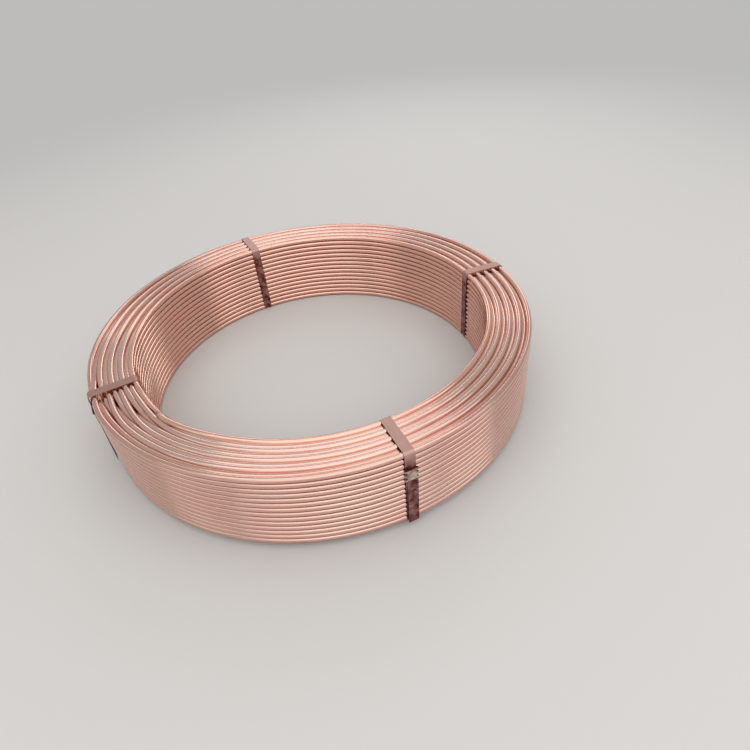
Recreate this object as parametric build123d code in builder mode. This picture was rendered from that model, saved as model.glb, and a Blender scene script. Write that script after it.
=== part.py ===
"""A level-wound coil of copper tube, lying on its end and held by four flat straps.

Millimetres, +Z up along the coil's axis. The origin is on the axis, in the plane of the
straps' undersides, which is the floor that the coil stands on.
"""

import os
from math import cos, radians, sin, sqrt, tan

from build123d import *

# the tube and how it is wound
tube_diameter = 9.52
turn_gap = 0.28
layers = 9
turns_in_full_layer = 15
bore_diameter = 610.0
groove_angle = 30.0

# the straps, each a flat strip closed round the ring of the coil
strap_width = 16.0
strap_thickness = 0.6
strap_gap = 0.3
strap_azimuths = {"front": -76.0, "right": 10.0, "back": 108.0, "left": 200.0}

# the strap's free end, which hangs askew below its seal on the outer wall
tail_end_height = 11.6
tail_lift = 2.5
tail_shift = 2.4

# the seal, a sleeve of thin sheet that is notched over the two ends of its strap
seal_sheet = 0.5
seal_play = 0.2
seal_height = 20.0
seal_drop = 30.0
lip_reach = 1.8
lip_rise = 1.8
notch_height = 4.0
notch_depth = 2.4
notch_spacing = 9.0

# worked out from the sizes above
tube_radius = tube_diameter / 2
bore_radius = bore_diameter / 2
turn_pitch = tube_diameter + turn_gap
half_pitch = turn_pitch / 2
layer_step = sqrt(tube_diameter**2 - half_pitch**2)
outer_radius = bore_radius + tube_diameter + (layers - 1) * layer_step
coil_bottom = strap_thickness + strap_gap
coil_top = coil_bottom + tube_diameter + (turns_in_full_layer - 1) * turn_pitch
last_layer = layers - 1
groove_depth = half_pitch * tan(radians(groove_angle))
seal_room = seal_sheet + 2 * seal_play
strap_face = outer_radius + seal_room + strap_thickness
seal_top = coil_top - seal_drop
seal_middle = seal_top - seal_height / 2
seal_foot = seal_top - seal_height
sleeve_width = strap_width + tail_shift + 2 * seal_play
sleeve_depth = 2 * (strap_thickness + seal_play)
sleeve_outside = strap_face + sleeve_depth / 2 + seal_sheet


def layer_radius(layer):
    """Distance from the axis to the middle of a layer's tube; layer 0 lines the bore."""
    return bore_radius + tube_radius + layer * layer_step


def turn_height(turn):
    """Height of the middle of a turn in a full layer; turn 0 is the lowest."""
    return coil_bottom + tube_radius + turn * turn_pitch


def end_points(end_height, inward, wound_layers):
    """The crests of the end turns, as radius and height.

    Every second layer nests half a pitch further in, so it has one turn less.
    """
    points = []
    for layer in wound_layers:
        radius = layer_radius(layer)
        height = end_height + inward * half_pitch * (layer % 2)
        points.append((radius, height))
    return points


# the wound tube: the last layer stops one turn short of the bottom
last_layer_start = 1
last_layer_foot = turn_height(last_layer_start) - tube_radius
outer_wall = []
for turn in range(last_layer_start, turns_in_full_layer):
    outer_wall.append((outer_radius - groove_depth, turn_height(turn) - half_pitch))
    outer_wall.append((outer_radius, turn_height(turn)))
bottom_end = end_points(coil_bottom, 1, range(last_layer))
last_layer_end = end_points(last_layer_foot, 1, [last_layer])
top_end = end_points(coil_top, -1, range(layers))
bore_wall = [(bore_radius, turn_height(turns_in_full_layer - 1)), (bore_radius, turn_height(0))]
section = bottom_end + last_layer_end + outer_wall[1:] + top_end[::-1] + bore_wall

with BuildPart() as tube_coil:
    with BuildSketch(Plane.XZ):
        with BuildLine():
            Polyline(*section, close=True)
        make_face()
    revolve(axis=Axis.Z)
tube_coil.part.label = "tube_coil"
os.makedirs("parts", exist_ok=True)
export_step(tube_coil.part, "parts/tube_coil.step")


# the tubes that a strap bends round, as (layer, turn), with the room that it keeps there
bore_corners = [(0, 0), (0, turns_in_full_layer - 1), (last_layer - 2, 0)]
wall_corners = [(last_layer, last_layer_start), (last_layer, turns_in_full_layer - 1)]


def strap_outline(growth):
    """The line of a strap round the ring's section, moved outwards by the growth."""
    with BuildSketch() as outline:
        for corners, room in ((bore_corners, strap_gap), (wall_corners, seal_room)):
            for layer, turn in corners:
                with Locations((layer_radius(layer), turn_height(turn))):
                    Circle(tube_radius + room + growth)
        make_hull()
    return outline.sketch


strap_inside = strap_outline(0)
strap_outside = strap_outline(strap_thickness)
lip_outline = [
    (sleeve_outside - seal_sheet, seal_top),
    (sleeve_outside, seal_top),
    (sleeve_outside + lip_reach, seal_top + lip_rise),
    (sleeve_outside - seal_sheet + lip_reach, seal_top + lip_rise),
]

# the sections of the free end from the top of the seal down: height, way off the wall, shift
tail_stations = [
    (seal_top, 0, tail_shift),
    (seal_foot, 0, tail_shift),
    (tail_end_height, tail_lift, 0),
]

for side, azimuth in strap_azimuths.items():
    outward = Vector(cos(radians(azimuth)), sin(radians(azimuth)), 0)
    upward = Vector(0, 0, 1)
    sideways = outward.cross(upward)
    section_plane = Plane((0, 0, 0), x_dir=outward, z_dir=sideways)
    sleeve_middle = outward * strap_face - sideways * (tail_shift / 2) + upward * seal_middle
    sleeve_plane = Plane(sleeve_middle, x_dir=outward)
    notch_plane = Plane(sleeve_middle, x_dir=sideways, z_dir=outward)

    with BuildSketch(notch_plane) as notches:
        with GridLocations(sleeve_width + 2 * seal_sheet, notch_spacing, 2, 2):
            Rectangle(2 * (notch_depth + seal_sheet), notch_height)

    with BuildPart() as strap:
        with BuildSketch(section_plane):
            add(strap_outside)
            add(strap_inside, mode=Mode.SUBTRACT)
        extrude(amount=strap_width / 2, both=True)
        for height, lift, shift in tail_stations:
            tail_radius = strap_face + strap_thickness / 2 + lift
            station = outward * tail_radius - sideways * shift + upward * height
            with BuildSketch(Plane(station, x_dir=outward)):
                Rectangle(strap_thickness, strap_width)
        loft(ruled=True)
        extrude(notches.sketch, amount=sleeve_depth, both=True, mode=Mode.SUBTRACT)
    strap.part.label = f"strap_{side}"
    export_step(strap.part, f"parts/strap_{side}.step")

    with BuildPart() as seal:
        with BuildSketch(sleeve_plane):
            Rectangle(sleeve_depth + 2 * seal_sheet, sleeve_width + 2 * seal_sheet)
            Rectangle(sleeve_depth, sleeve_width, mode=Mode.SUBTRACT)
        extrude(amount=seal_height / 2, both=True)
        with BuildSketch(section_plane.offset(-tail_shift / 2)):
            with BuildLine():
                Polyline(*lip_outline, close=True)
            make_face()
        extrude(amount=sleeve_width / 2 + seal_sheet, both=True)
        extrude(notches.sketch, amount=sleeve_depth, both=True, mode=Mode.SUBTRACT)
    seal.part.label = f"seal_{side}"
    export_step(seal.part, f"parts/seal_{side}.step")
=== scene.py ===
"""A level-wound coil of copper tube held by four flat straps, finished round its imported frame.

Metres, +Z up along the coil's axis. The floor is the plane z = 0, under the straps.
"""

import math

import bmesh
import bpy
from mathutils import Matrix, Vector


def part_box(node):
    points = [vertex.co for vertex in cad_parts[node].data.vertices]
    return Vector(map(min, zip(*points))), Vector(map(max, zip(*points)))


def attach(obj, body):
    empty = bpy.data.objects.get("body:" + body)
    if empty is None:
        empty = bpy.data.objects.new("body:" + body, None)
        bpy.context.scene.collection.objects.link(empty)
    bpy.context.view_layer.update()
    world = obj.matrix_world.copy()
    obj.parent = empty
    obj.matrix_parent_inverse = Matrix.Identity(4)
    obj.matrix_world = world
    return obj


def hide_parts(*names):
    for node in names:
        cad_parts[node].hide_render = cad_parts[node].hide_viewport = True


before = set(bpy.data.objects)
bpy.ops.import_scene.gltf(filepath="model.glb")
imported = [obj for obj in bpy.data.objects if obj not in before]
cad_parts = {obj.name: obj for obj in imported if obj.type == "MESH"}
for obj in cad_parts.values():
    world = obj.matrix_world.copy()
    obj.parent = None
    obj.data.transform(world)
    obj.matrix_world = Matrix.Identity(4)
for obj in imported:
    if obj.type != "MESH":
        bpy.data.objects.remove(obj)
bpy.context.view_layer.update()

# the tube and how it is wound, as in the frame
TUBE_DIAMETER = 0.00952
TURN_PITCH = 0.0098
BORE_DIAMETER = 0.610
LAYERS = 9
TURNS_IN_FULL_LAYER = 15

# worked out from those sizes
TUBE_RADIUS = TUBE_DIAMETER / 2
HALF_PITCH = TURN_PITCH / 2
LAYER_STEP = math.sqrt(TUBE_DIAMETER**2 - HALF_PITCH**2)
LAST_LAYER = LAYERS - 1
BOTTOM_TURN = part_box("tube_coil")[0].z + TUBE_RADIUS
TOP_TURN = BOTTOM_TURN + (TURNS_IN_FULL_LAYER - 1) * TURN_PITCH

# the middle of the ring, on which lengths along the tube are measured
RING_RADIUS = BORE_DIAMETER / 2 + TUBE_RADIUS + LAST_LAYER / 2 * LAYER_STEP

# degrees round the axis: where the bore's turns and each pair of layers step, and how far a step reaches
FULL_TURN = 360.0
BORE_STEP = 220.0
BORE_SPREAD = 16.0
LAYER_STEPS = {1: 208.0, 3: 203.0, 5: 197.0, 7: 188.0}
STEP_SPREAD = 22.0

# an end turn rides up on its neighbours where it climbs in, settles, and rises again before it steps out
RIDE_UP = 0.32 * TURN_PITCH
SETTLE_SPREAD = 150.0
RISE_SPREAD = 34.0

# the turns outside it drop out of its way, by this share of a step's spread early
DROP_LEAD = 0.3

# how far out and up the tube's end on the top rim lies, and how far round it has settled
FREE_END_OUT = 0.9 * LAYER_STEP
FREE_END_UP = 0.0035
FREE_END_SPREAD = 28.0

# the tube's pinched ends: how long, and how much thinner and taller they are
PINCH_LENGTH = 0.014
PINCH_THINNER = 0.6
PINCH_TALLER = 0.25

# how unevenly the turns lie, in waves: each one's share, number in a turn and start from layer to layer
SWAY = 0.00010
SWAY_OUT = [(1.0, 2.9, 1), (0.6, 3.65, 2)]
SWAY_UP = [(1.0, 2.1, 3), (0.5, 5.15, 1)]

# how finely the tube is drawn where it shows and where it is hidden, and how near points are joined
SECTION_SIDES = 16
STEPS_IN_TURN = 288
HIDDEN_SIDES = 8
HIDDEN_STEPS_IN_TURN = 144
JOIN_DISTANCE = TUBE_DIAMETER / 1000

# the copper's patterns, as repeats in a metre: patches of 120 mm, streaks 150 mm long and 0.8 mm wide
FURNACE_PATCHES = 1 / 0.120
DRAW_STREAK = 1 / 0.150
# real draw lines are finer, and would not show
DRAW_LINES = 1 / 0.0008

# the copper of each part of the tube, toned apart for the light on that part (painted light): pink,
# straw, the brown of the painted shade on each turn's underside, and how much of that painted shade shows
TUBE_COPPER = {
    "bore": ("#F8C6B5", "#F9CEBA", "#84412F", 0.5),
    "wall": ("#EBBAAC", "#EEC7B6", "#783D30", 0.95),
    "ends": ("#F0C5B8", "#F3D1C2", "#A86654", 0.2),
}

# where in the furnace patches the copper stops being pink and is all straw
PINK_END = 0.35
STRAW_START = 0.7

# the draw lines spread a highlight this far, a quarter turn from their own way, and darken the copper
HIGHLIGHT_SPREAD = 0.5
QUARTER_TURN = 0.25
LINE_DARKNESS = 0.15

# painted shade: the copper darkens from just above the tube's middle down to near its underside
PAINTED_SHADE_START = 0.1 * TUBE_RADIUS
PAINTED_SHADE_FULL = -0.8 * TUBE_RADIUS

# the straps' copper, their finger marks 12 mm across, and the brown of the marks and of the painted shade
STRAP_COPPER = "#D0A89D"
FINGER_MARKS = 1 / 0.012
MARK_AND_PAINTED_SHADE_BROWN = "#63241B"

# where in the marks' pattern the brown is least and full, how much is least, and how much of it the top
# keeps, the walls being browner as painted shade
MARK_EDGE = 0.66
MARK_MIDDLE = 0.40
LEAST_BROWN = 0.4
BROWN_ON_TOP = 0.15

# the seals' plating, bright and tarnished, and its clouds of tarnish, half as wide as a finger mark
SEAL_BRIGHT = "#DCC9BC"
SEAL_TARNISHED = "#A1877A"
TARNISH_CLOUDS = 2 * FINGER_MARKS

# where in the clouds the plating stops being tarnished and is all bright
TARNISH_END = 0.4
BRIGHT_START = 0.62

# roughness, from the smoothest places to the roughest
TUBE_ROUGHNESS = (0.12, 0.24)
STRAP_ROUGHNESS = (0.40, 0.44)
SEAL_ROUGHNESS = (0.15, 0.40)

# the studio's floor and the dim room round it
FLOOR_HALF_WIDTH = 30.0
FLOOR_COLOUR = "#DCDAD7"
FLOOR_ROUGHNESS = 0.7
FLOOR_SHINE = 0.1
ROOM_COLOUR = "#FCFBFA"
ROOM_BRIGHTNESS = 0.52

# the distances from the coil between which the floor turns into an even backdrop
BACKDROP_START = 1.2
BACKDROP_FULL = 3.0

# the soft lights: degrees clockwise from behind the coil and up, metres wide and high, brightness
LAMP_DISTANCE = 3.2
LAMPS = {
    "ceiling": (180.0, 70.0, 5.2, 4.8, 0.80),
    "behind_camera": (180.0, 25.0, 6.2, 2.0, 0.60),
    "behind_coil": (9.0, 46.0, 1.2, 0.9, 1.3),
    "low_strip": (20.0, 15.0, 2.0, 0.4, 2.6),
    "back_window": (41.0, 24.0, 0.7, 2.0, 1.2),
    "back_strip": (-6.0, 23.0, 0.5, 0.8, 1.8),
    "right_window": (117.0, 30.0, 1.4, 2.0, 0.75),
    "left_window": (246.0, 30.0, 1.4, 2.0, 0.4),
}

# the photo's camera: metres before the coil's axis and up, degrees turned right, tipped down and rolled
CAMERA_DISTANCE = 0.8353
CAMERA_HEIGHT = 0.6656
CAMERA_TURN = 7.05
CAMERA_TIP = 39.08
CAMERA_ROLL = -5.61

# its lens and sensor in millimetres, and the nearest that it sees in metres
CAMERA_LENS = 26.24
CAMERA_SENSOR = 36.0
CAMERA_NEAREST = 0.01


def layer_radius(layer):
    """Distance from the axis to the middle of a layer's tube; layer 0 lines the bore."""
    return BORE_DIAMETER / 2 + TUBE_RADIUS + layer * LAYER_STEP


def eased(value, start, end):
    """A smooth step from 0 at the start to 1 at the end."""
    share = min(max((value - start) / (end - start), 0.0), 1.0)
    return share * share * (3 - 2 * share)


def sway(turned, layer):
    """The small uneven lie of the tube, outwards and up, which drifts from turn to turn."""
    angle = math.radians(turned)

    def sum_of(waves):
        return sum(share * math.sin(number * angle + start * layer) for share, number, start in waves)

    return SWAY * sum_of(SWAY_OUT), SWAY * sum_of(SWAY_UP)


def new_object(name, data):
    """A new object in the scene."""
    thing = bpy.data.objects.new(name, data)
    bpy.context.scene.collection.objects.link(thing)
    return thing


def mesh_of(name, bm):
    """The mesh that was built in bm, which is freed."""
    mesh = bpy.data.meshes.new(name)
    bm.to_mesh(mesh)
    bm.free()
    return mesh


def spun_turn(sides, steps):
    """The tube's section spun once round the axis at no radius, for wind to move each of its rings.

    It is left open, because one turn joins the next.
    """
    bm = bmesh.new()
    upright = Matrix.Rotation(math.pi / 2, 4, "X")
    bmesh.ops.create_circle(bm, segments=sides, radius=TUBE_RADIUS, matrix=upright)
    bmesh.ops.spin(
        bm, geom=bm.verts[:] + bm.edges[:], cent=(0, 0, 0), axis=(0, 0, 1), dvec=(0, 0, 0),
        angle=2 * math.pi, steps=steps, use_merge=False, use_duplicate=False,
    )
    return mesh_of("spun_turn", bm)


spun_turns = {
    SECTION_SIDES: spun_turn(SECTION_SIDES, STEPS_IN_TURN),
    HIDDEN_SIDES: spun_turn(HIDDEN_SIDES, HIDDEN_STEPS_IN_TURN),
}


def new_tube():
    """An empty mesh whose points also hold their place along and round the straightened tube."""
    bm = bmesh.new()
    bm.verts.layers.float_vector.new("unrolled")
    return bm


def wind(bm, start, sweep, lay, sides=SECTION_SIDES, steps=STEPS_IN_TURN):
    """Winds a tube round the axis; lay gives its radius and height at each angle from the start.

    The rings of the last turn that lie past the sweep fall together on its end, where they are merged.
    """
    unrolled = bm.verts.layers.float_vector["unrolled"]
    for turn in range(math.ceil(sweep / FULL_TURN)):
        # the points of a spun turn come ring by ring
        first = len(bm.verts)
        bm.from_mesh(spun_turns[sides])
        bm.verts.ensure_lookup_table()
        section = [bm.verts[first + side].co.copy() for side in range(sides)]
        for ring in range(steps + 1):
            turned = min((turn + ring / steps) * FULL_TURN, sweep)
            heading = Matrix.Rotation(math.radians(start + turned), 3, "Z")
            radius, height = lay(turned)
            along = math.radians(turned) * RING_RADIUS
            for side, offset in enumerate(section):
                vert = bm.verts[first + ring * sides + side]
                vert.co = heading @ (offset + Vector((radius, 0, height)))
                vert[unrolled] = (along, offset.x, offset.z)


def wind_level_turn(bm, layer, height, sides=SECTION_SIDES, steps=STEPS_IN_TURN):
    """Winds one turn of a layer that stays at its height and closes on itself."""
    wind(bm, 0.0, FULL_TURN, lambda turned: (layer_radius(layer), height), sides, steps)


def wind_pair(bm, inner_layer, outer_turns):
    """Winds the tube that joins two layers over the top end, and returns its sweep.

    It makes the inner layer's last two turns up to the end, steps out and winds down as the outer layer.
    """
    climb = FULL_TURN - STEP_SPREAD
    step_out = climb + FULL_TURN
    sweep = step_out + outer_turns * FULL_TURN - STEP_SPREAD

    def lay(turned):
        out, up = sway(turned, inner_layer)
        climbed = eased(turned, climb, FULL_TURN)
        settled = eased(turned, FULL_TURN, FULL_TURN + SETTLE_SPREAD)
        raised = eased(turned, step_out - RISE_SPREAD, step_out)
        stepped = eased(turned, step_out, step_out + STEP_SPREAD)
        out += LAYER_STEP * stepped
        up += TURN_PITCH * (climbed - 1) + HALF_PITCH * (stepped - 1)
        up += RIDE_UP * (climbed - settled + raised - stepped)
        for turn in range(1, outer_turns):
            drop = step_out + turn * FULL_TURN - DROP_LEAD * STEP_SPREAD
            up -= TURN_PITCH * eased(turned, drop, drop + STEP_SPREAD)
        return layer_radius(inner_layer) + out, TOP_TURN + up

    wind(bm, LAYER_STEPS[inner_layer] + STEP_SPREAD, sweep, lay)
    return sweep


def pinch_end(bm, sweep):
    """Presses the tube shut towards the end that lies at this sweep, as the mill leaves it."""
    unrolled = bm.verts.layers.float_vector["unrolled"]
    end = math.radians(sweep) * RING_RADIUS
    for vert in bm.verts:
        along, out, up = vert[unrolled]
        shut = 1 - eased(abs(along - end), 0.0, PINCH_LENGTH)
        outward = vert.co.xy.normalized()
        vert.co.xy = vert.co.xy - outward * (out * PINCH_THINNER * shut)
        vert.co.z += up * PINCH_TALLER * shut


def close_ends(bm):
    """Joins the turns of each tube and closes its two ends."""
    bmesh.ops.remove_doubles(bm, verts=bm.verts[:], dist=JOIN_DISTANCE)
    rims = [edge for edge in bm.edges if edge.is_boundary]
    bmesh.ops.holes_fill(bm, edges=rims, sides=SECTION_SIDES)


def tube_piece(name, bm, material):
    """Makes a piece of wound tube, which rides on the object and stands for the CAD coil."""
    bmesh.ops.remove_doubles(bm, verts=bm.verts[:], dist=JOIN_DISTANCE)
    bmesh.ops.recalc_face_normals(bm, faces=bm.faces[:])
    for face in bm.faces:
        face.smooth = True
    piece = new_object(name, mesh_of(name, bm))
    piece.data.materials.append(material)
    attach(piece, "root")
    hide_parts("tube_coil")


def bore_layer(material):
    """The first layer: it starts at an end tucked behind the bore's top turn and winds down the bore."""
    bm = new_tube()
    last = TURNS_IN_FULL_LAYER * FULL_TURN
    sweep = last + STEP_SPREAD

    def lay(turned):
        out, up = sway(turned, 0)
        for turn in range(1, TURNS_IN_FULL_LAYER):
            up -= TURN_PITCH * eased(turned, turn * FULL_TURN - BORE_SPREAD, turn * FULL_TURN)
        loose = 1 - eased(turned, 0, FREE_END_SPREAD)
        stepped = eased(turned, last, sweep)
        out += FREE_END_OUT * loose + LAYER_STEP * stepped
        up += FREE_END_UP * loose + HALF_PITCH * stepped
        return layer_radius(0) + out, TOP_TURN + up

    wind(bm, BORE_STEP, sweep, lay)
    pinch_end(bm, 0.0)
    close_ends(bm)
    tube_piece("tube_bore_layer", bm, material)


def wall_layer(material):
    """The last layer: it comes up out of the layer inside it and winds down the outer wall."""
    bm = new_tube()
    sweep = wind_pair(bm, LAST_LAYER - 1, TURNS_IN_FULL_LAYER - 1)
    pinch_end(bm, sweep)
    close_ends(bm)
    tube_piece("tube_wall_layer", bm, material)


def top_turns(material):
    """The top turns of the layers between, two deep, where each pair of layers is one tube."""
    bm = new_tube()
    for inner_layer in range(1, LAST_LAYER - 1, 2):
        wind_pair(bm, inner_layer, 2)
    close_ends(bm)
    tube_piece("tube_top_turns", bm, material)


def bottom_turns(material):
    """The turns of the layers between on the bottom end; every second layer nests half a pitch in."""
    bm = new_tube()
    for layer in range(1, LAST_LAYER):
        wind_level_turn(bm, layer, BOTTOM_TURN + HALF_PITCH * (layer % 2))
    tube_piece("tube_bottom_turns", bm, material)


def second_layers(material):
    """The layers just behind the bore wall and the outer wall, seen only through the gaps.

    Their lowest and highest turns are on the ends, so they are drawn there.
    """
    bm = new_tube()
    for layer in (1, LAST_LAYER - 1):
        for turn in range(1, TURNS_IN_FULL_LAYER - 2):
            height = BOTTOM_TURN + HALF_PITCH + turn * TURN_PITCH
            wind_level_turn(bm, layer, height, HIDDEN_SIDES, HIDDEN_STEPS_IN_TURN)
    tube_piece("tube_second_layers", bm, material)


def linear(hex_colour):
    """An sRGB hex colour as linear red, green, blue and alpha, by the curve of the sRGB standard."""
    channels = [int(hex_colour[place:place + 2], 16) / 255 for place in (1, 3, 5)]
    return [c / 12.92 if c <= 0.04045 else ((c + 0.055) / 1.055) ** 2.4 for c in channels] + [1.0]


def add_node(tree, kind, settings=None, **inputs):
    """Adds a node with its properties set, and with a value or a link for each input that is given.

    An input is given by its name, with _ for each space, or by _ and its number.
    """
    node = tree.nodes.new(kind)
    for name, value in (settings or {}).items():
        setattr(node, name, value)
    for name, value in inputs.items():
        socket = node.inputs[int(name[1:])] if name[1:].isdigit() else node.inputs[name.replace("_", " ")]
        if isinstance(value, bpy.types.NodeSocket):
            tree.links.new(value, socket)
        else:
            socket.default_value = value
    return node


def new_material(name, **inputs):
    """A node material with its output and its shader, which has these inputs."""
    material = bpy.data.materials.new(name)
    material.use_nodes = True
    tree = material.node_tree
    tree.nodes.clear()
    shader = add_node(tree, "ShaderNodeBsdfPrincipled", **inputs)
    add_node(tree, "ShaderNodeOutputMaterial", Surface=shader.outputs["BSDF"])
    return material, tree, shader


def bright_annealed_copper(part, pink, straw, painted_shade_colour, painted_shade_share):
    """Copper tube, cold drawn and bright annealed: its fine draw lines spread each highlight across it.

    The colour turns a little pink or straw over a hand's width, as the furnace leaves it. The underside
    of each turn is painted browner, as painted shade.
    """
    material, tree, shader = new_material(
        "bright_annealed_copper_" + part,
        Metallic=1.0, Anisotropic=HIGHLIGHT_SPREAD, Anisotropic_Rotation=QUARTER_TURN,
    )
    along = add_node(tree, "ShaderNodeTangent", {"direction_type": "RADIAL", "axis": "Z"})
    tree.links.new(along.outputs["Tangent"], shader.inputs["Tangent"])
    place = add_node(tree, "ShaderNodeTexCoord").outputs["Object"]
    unrolled = add_node(tree, "ShaderNodeAttribute", {"attribute_name": "unrolled"}).outputs["Vector"]

    furnace = add_node(tree, "ShaderNodeTexNoise", Vector=place, Scale=FURNACE_PATCHES, Detail=2.0)
    tint = add_node(tree, "ShaderNodeValToRGB", Fac=furnace.outputs["Fac"])
    tint.color_ramp.elements[0].position = PINK_END
    tint.color_ramp.elements[0].color = linear(pink)
    tint.color_ramp.elements[1].position = STRAW_START
    tint.color_ramp.elements[1].color = linear(straw)

    line_scale = (DRAW_STREAK, DRAW_LINES, DRAW_LINES)
    stretched = add_node(tree, "ShaderNodeMapping", Vector=unrolled, Scale=line_scale).outputs["Vector"]
    lines = add_node(tree, "ShaderNodeTexNoise", Vector=stretched, Scale=1.0, Detail=3.0).outputs["Fac"]
    drawn = add_node(
        tree, "ShaderNodeMix", {"data_type": "RGBA", "blend_type": "MULTIPLY"},
        _0=LINE_DARKNESS, _6=tint.outputs["Color"], _7=lines,
    )

    # painted shade: the copper turns browner down the underside of each turn
    height = add_node(tree, "ShaderNodeSeparateXYZ", Vector=unrolled).outputs["Z"]
    under = add_node(
        tree, "ShaderNodeMapRange", {"interpolation_type": "SMOOTHSTEP"},
        Value=height, From_Min=PAINTED_SHADE_START, From_Max=PAINTED_SHADE_FULL, To_Max=painted_shade_share,
    )
    painted_shade_mix = add_node(
        tree, "ShaderNodeMix", {"data_type": "RGBA"},
        _0=under.outputs["Result"], _6=drawn.outputs[2], _7=linear(painted_shade_colour),
    )
    tree.links.new(painted_shade_mix.outputs[2], shader.inputs["Base Color"])

    smooth, rough = TUBE_ROUGHNESS
    gloss = add_node(tree, "ShaderNodeMapRange", Value=lines, To_Min=smooth, To_Max=rough)
    tree.links.new(gloss.outputs["Result"], shader.inputs["Roughness"])
    return material


def rolled_copper_strap():
    """Flat copper strapping, cold rolled to a satin finish, which spreads the light over its whole width.

    Handling has left it mottled with brown over a finger's width; down the coil's walls it is painted
    browner still, as painted shade.
    """
    material, tree, shader = new_material("rolled_copper_strap", Metallic=1.0)
    place = add_node(tree, "ShaderNodeTexCoord").outputs["Object"]
    marks = add_node(
        tree, "ShaderNodeTexNoise",
        Vector=place, Scale=FINGER_MARKS, Detail=4.0, Roughness=0.65,
    )
    mottled = add_node(
        tree, "ShaderNodeMapRange",
        Value=marks.outputs["Fac"], From_Min=MARK_EDGE, From_Max=MARK_MIDDLE, To_Min=LEAST_BROWN,
    )
    # painted shade: the brown grows down the coil's walls and is least on its top
    height = add_node(tree, "ShaderNodeSeparateXYZ", Vector=place).outputs["Z"]
    down = add_node(
        tree, "ShaderNodeMapRange", {"interpolation_type": "SMOOTHSTEP"},
        Value=height, From_Min=TOP_TURN, From_Max=TOP_TURN - 2 * TURN_PITCH, To_Min=BROWN_ON_TOP,
    )
    brown = add_node(
        tree, "ShaderNodeMath", {"operation": "MULTIPLY"},
        _0=down.outputs["Result"], _1=mottled.outputs["Result"],
    ).outputs["Value"]
    colour = add_node(
        tree, "ShaderNodeMix", {"data_type": "RGBA"},
        _0=brown, _6=linear(STRAP_COPPER), _7=linear(MARK_AND_PAINTED_SHADE_BROWN),
    )
    tree.links.new(colour.outputs[2], shader.inputs["Base Color"])

    smooth, rough = STRAP_ROUGHNESS
    gloss = add_node(tree, "ShaderNodeMapRange", Value=brown, To_Min=rough, To_Max=smooth)
    tree.links.new(gloss.outputs["Result"], shader.inputs["Roughness"])
    return material


def plated_steel_seal():
    """A strap seal of thin pressed steel, bright plated: it shines pale, and is dull where tarnished."""
    material, tree, shader = new_material("plated_steel_seal", Metallic=1.0)
    place = add_node(tree, "ShaderNodeTexCoord").outputs["Object"]
    clouds = add_node(tree, "ShaderNodeTexNoise", Vector=place, Scale=TARNISH_CLOUDS, Detail=3.0)
    plating = add_node(tree, "ShaderNodeValToRGB", Fac=clouds.outputs["Fac"])
    plating.color_ramp.elements[0].position = TARNISH_END
    plating.color_ramp.elements[0].color = linear(SEAL_TARNISHED)
    plating.color_ramp.elements[1].position = BRIGHT_START
    plating.color_ramp.elements[1].color = linear(SEAL_BRIGHT)
    tree.links.new(plating.outputs["Color"], shader.inputs["Base Color"])

    smooth, rough = SEAL_ROUGHNESS
    gloss = add_node(tree, "ShaderNodeMapRange", Value=clouds.outputs["Fac"], To_Min=rough, To_Max=smooth)
    tree.links.new(gloss.outputs["Result"], shader.inputs["Roughness"])
    return material


def studio_floor():
    """A floor in pale matt paint, which shows the coil's shadow and runs out into an even backdrop."""
    bm = bmesh.new()
    bmesh.ops.create_grid(bm, x_segments=1, y_segments=1, size=FLOOR_HALF_WIDTH)
    floor = new_object("floor", mesh_of("floor", bm))
    material, tree, shader = new_material(
        "pale_studio_floor",
        Base_Color=linear(FLOOR_COLOUR), Roughness=FLOOR_ROUGHNESS, Specular_IOR_Level=FLOOR_SHINE,
    )
    floor.data.materials.append(material)
    place = add_node(tree, "ShaderNodeTexCoord").outputs["Object"]
    away = add_node(tree, "ShaderNodeVectorMath", {"operation": "LENGTH"}, _0=place)
    far = add_node(
        tree, "ShaderNodeMapRange", {"interpolation_type": "SMOOTHSTEP"},
        Value=away.outputs["Value"], From_Min=BACKDROP_START, From_Max=BACKDROP_FULL,
    )

    # the backdrop shows to the camera and in gloss and glass, and lights nothing else
    ray = add_node(tree, "ShaderNodeLightPath").outputs
    seen = ray["Is Camera Ray"]
    for kind in ("Is Glossy Ray", "Is Transmission Ray"):
        either = add_node(tree, "ShaderNodeMath", {"operation": "MAXIMUM"}, _0=seen, _1=ray[kind])
        seen = either.outputs["Value"]
    share = add_node(tree, "ShaderNodeMath", {"operation": "MULTIPLY"}, _0=seen, _1=far.outputs["Result"])
    glow = add_node(tree, "ShaderNodeEmission", Color=linear(ROOM_COLOUR), Strength=ROOM_BRIGHTNESS)
    both = add_node(
        tree, "ShaderNodeMixShader",
        _0=share.outputs["Value"], _1=shader.outputs["BSDF"], _2=glow.outputs["Emission"],
    )
    tree.links.new(both.outputs["Shader"], tree.nodes["Material Output"].inputs["Surface"])


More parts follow.
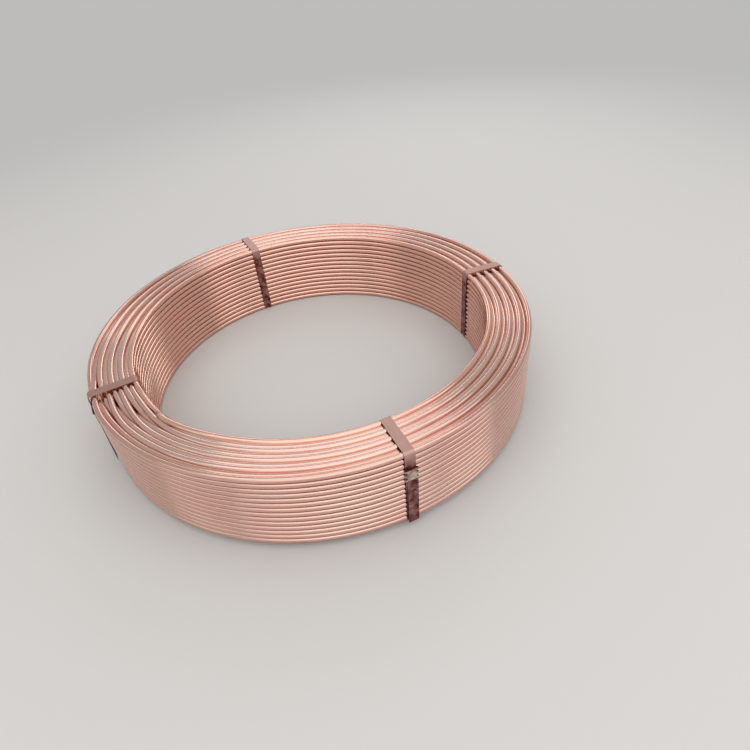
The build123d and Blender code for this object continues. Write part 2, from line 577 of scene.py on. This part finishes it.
def soft_light(name, azimuth, elevation, width, height, brightness):
    """An oval softbox that faces the coil; the brightness is that of its face, whatever its size."""
    light = bpy.data.lights.new(name, "AREA")
    light.shape = "ELLIPSE"
    light.size = width
    light.size_y = height
    light.energy = brightness * math.pi * (math.pi * width * height / 4)
    turn, rise = math.radians(azimuth), math.radians(elevation)
    toward = Vector((math.sin(turn) * math.cos(rise), math.cos(turn) * math.cos(rise), math.sin(rise)))
    lamp = new_object(name, light)
    lamp.location = LAMP_DISTANCE * toward
    lamp.rotation_euler = toward.to_track_quat("Z", "Y").to_euler()


def dim_room():
    """The even pale light of the room round the studio."""
    world = bpy.data.worlds.new("studio")
    bpy.context.scene.world = world
    world.use_nodes = True
    background = world.node_tree.nodes["Background"]
    background.inputs["Color"].default_value = linear(ROOM_COLOUR)
    background.inputs["Strength"].default_value = ROOM_BRIGHTNESS


def photo_camera():
    """The camera at the photo's place and angle."""
    data = bpy.data.cameras.new("camera")
    data.sensor_width = CAMERA_SENSOR
    data.lens = CAMERA_LENS
    data.clip_start = CAMERA_NEAREST
    camera = new_object("camera", data)
    turn = Matrix.Rotation(math.radians(-CAMERA_TURN), 4, "Z")
    tip = Matrix.Rotation(math.radians(90 - CAMERA_TIP), 4, "X")
    roll = Matrix.Rotation(math.radians(CAMERA_ROLL), 4, "Z")
    place = Matrix.Translation((0, -CAMERA_DISTANCE, CAMERA_HEIGHT))
    camera.matrix_world = place @ turn @ tip @ roll
    bpy.context.scene.camera = camera


photo_camera()
studio_floor()
dim_room()
for name, placing in LAMPS.items():
    soft_light(name, *placing)

# each part gets its own copy of the copper, toned for the light on that part: painted light
copper = {part: bright_annealed_copper(part, *colours) for part, colours in TUBE_COPPER.items()}
bore_layer(copper["bore"])
wall_layer(copper["wall"])
top_turns(copper["ends"])
bottom_turns(copper["ends"])
second_layers(copper["ends"])

finishes = {"strap": rolled_copper_strap(), "seal": plated_steel_seal()}
for name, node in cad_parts.items():
    kind = name.split("_")[0]
    if kind in finishes:
        node.data.materials.clear()
        node.data.materials.append(finishes[kind])
bpy.context.scene.view_settings.view_transform = "Standard"
